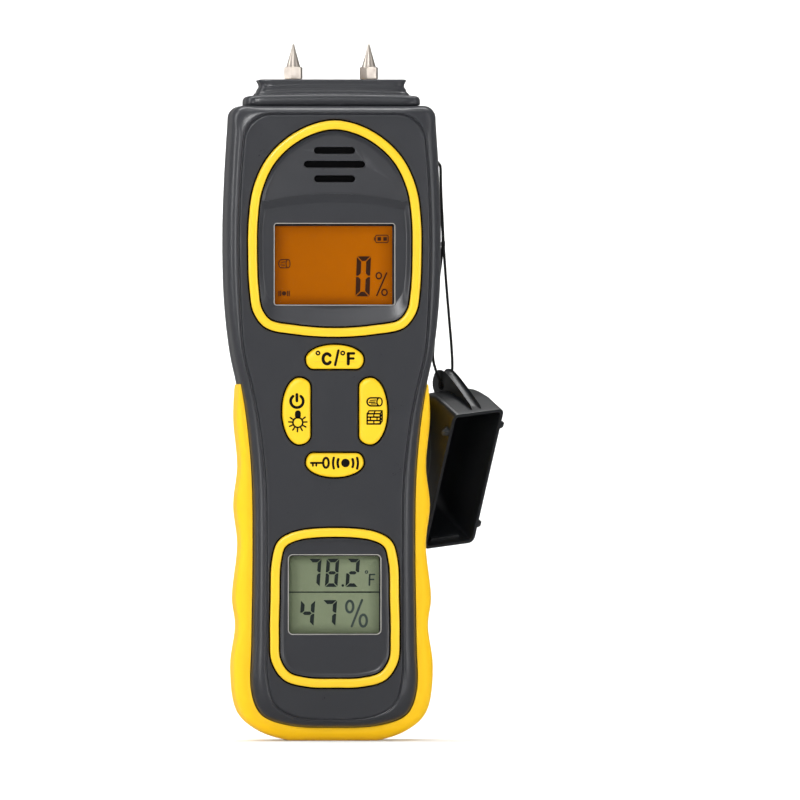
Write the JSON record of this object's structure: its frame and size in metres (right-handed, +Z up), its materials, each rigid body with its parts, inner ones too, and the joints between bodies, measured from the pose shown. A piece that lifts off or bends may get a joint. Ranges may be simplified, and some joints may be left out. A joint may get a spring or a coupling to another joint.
{
  "type": "moisture meter",
  "caption": "Handheld pin moisture meter with amber and grey displays, soft yellow grip, oval keys and a pin cover hanging on a cord.",
  "frame": {"origin": "middle of the flat bottom end, on which the meter stands upright", "axes": "+X across the face, to the right as read; +Y from the face to the back; +Z up the handle to the measuring pins"},
  "size_m": [0.0922, 0.059, 0.2265],
  "materials": {
    "case_grey": "fine satin texture, dark grey ABS",
    "trim_yellow": "smooth satin yellow",
    "grip_yellow": "soft-touch yellow elastomer",
    "key_yellow": "smooth silicone with black printed symbols",
    "clear_window": "clear acrylic",
    "amber_display": "LCD lit amber from behind, dark segments",
    "grey_display": "reflective grey-green LCD, dark segments",
    "light_guide": "milky light guide",
    "white_plastic": "white moulded",
    "black_rubber": "layered elastomer strip",
    "board_green": "glass-fibre board with solder mask",
    "black_plastic": "black moulded",
    "nickel_steel": "turned and nickel plated",
    "screw_steel": "zinc plated",
    "brass": "turned",
    "copper": "copper foil plate",
    "battery_can": "lacquered can with no label",
    "white_wire": "insulated hook-up wire",
    "red_wire": "insulated hook-up wire",
    "black_wire": "insulated hook-up wire",
    "foam_grey": "closed-cell foam",
    "cap_black": "satin black moulding",
    "cord_black": "thin braided nylon cord"
  },
  "bodies": {
    "housing": {"front_cover": "case_grey", "rear_cover": "case_grey", "pin_block": "case_grey", "upper_trim_ring": "trim_yellow", "lower_trim_ring": "trim_yellow", "grip_overmould": "grip_yellow", "upper_display_window": "clear_window", "lower_display_window": "clear_window", "upper_lcd": "amber_display", "lower_lcd": "grey_display", "upper_backlight": "light_guide", "lower_lcd_spacer": "white_plastic", "upper_zebra_strip": "black_rubber", "lower_zebra_strip": "black_rubber", "main_board": "board_green", "unit_switch": "black_plastic", "power_switch": "black_plastic", "material_switch": "black_plastic", "hold_switch": "black_plastic", "buzzer": "black_plastic", "humidity_sensor": "white_plastic", "left_pin": "nickel_steel", "right_pin": "nickel_steel", "left_pin_socket": "brass", "right_pin_socket": "brass", "left_pin_lead": "white_wire", "right_pin_lead": "white_wire", "sensor_pad": "black_plastic", "sensor_electrode": "copper", "sensor_lead": "white_wire", "battery": "battery_can", "battery_snap": "black_plastic", "red_battery_lead": "red_wire", "black_battery_lead": "black_wire", "case_screw_1": "screw_steel", "case_screw_2": "screw_steel", "case_screw_3": "screw_steel", "case_screw_4": "screw_steel"},
    "unit_button": {"unit_key": "key_yellow"},
    "power_button": {"power_key": "key_yellow"},
    "material_button": {"material_key": "key_yellow"},
    "hold_button": {"hold_key": "key_yellow"},
    "door": {"battery_door": "case_grey", "door_foam_pad": "foam_grey"},
    "lanyard": {"lanyard_cord": "cord_black"},
    "cap": {"pin_cap": "cap_black"}
  },
  "joints": [
    {"name": "unit_key_press", "type": "slide", "parent": "housing", "child": "unit_button", "axis": [0, 1, 0], "range_m": [0, 0.001], "stiffness_N_per_m": 1500, "springref_m": -0.0003},
    {"name": "power_key_press", "type": "slide", "parent": "housing", "child": "power_button", "axis": [0, 1, 0], "range_m": [0, 0.001], "stiffness_N_per_m": 1500, "springref_m": -0.0003},
    {"name": "material_key_press", "type": "slide", "parent": "housing", "child": "material_button", "axis": [0, 1, 0], "range_m": [0, 0.001], "stiffness_N_per_m": 1500, "springref_m": -0.0003},
    {"name": "hold_key_press", "type": "slide", "parent": "housing", "child": "hold_button", "axis": [0, 1, 0], "range_m": [0, 0.001], "stiffness_N_per_m": 1500, "springref_m": -0.0003},
    {"name": "battery_door_hinge", "type": "hinge", "parent": "housing", "child": "door", "pos_m": [0, 0.017, 0.0098], "axis": [-1, 0, 0], "range_deg": [0, 60]},
    {"name": "lanyard_swing", "type": "hinge", "parent": "housing", "child": "lanyard", "pos_m": [0.0346, 0.0169, 0.1885], "axis": [1, 0, 0], "range_deg": [0, 75]},
    {"name": "pin_cap_swing", "type": "hinge", "parent": "lanyard", "child": "cap", "pos_m": [0.03858, 0.01632, 0.1154], "axis": [0.8733, 0.4743, 0.1113], "range_deg": [0, 50]}
  ]
}
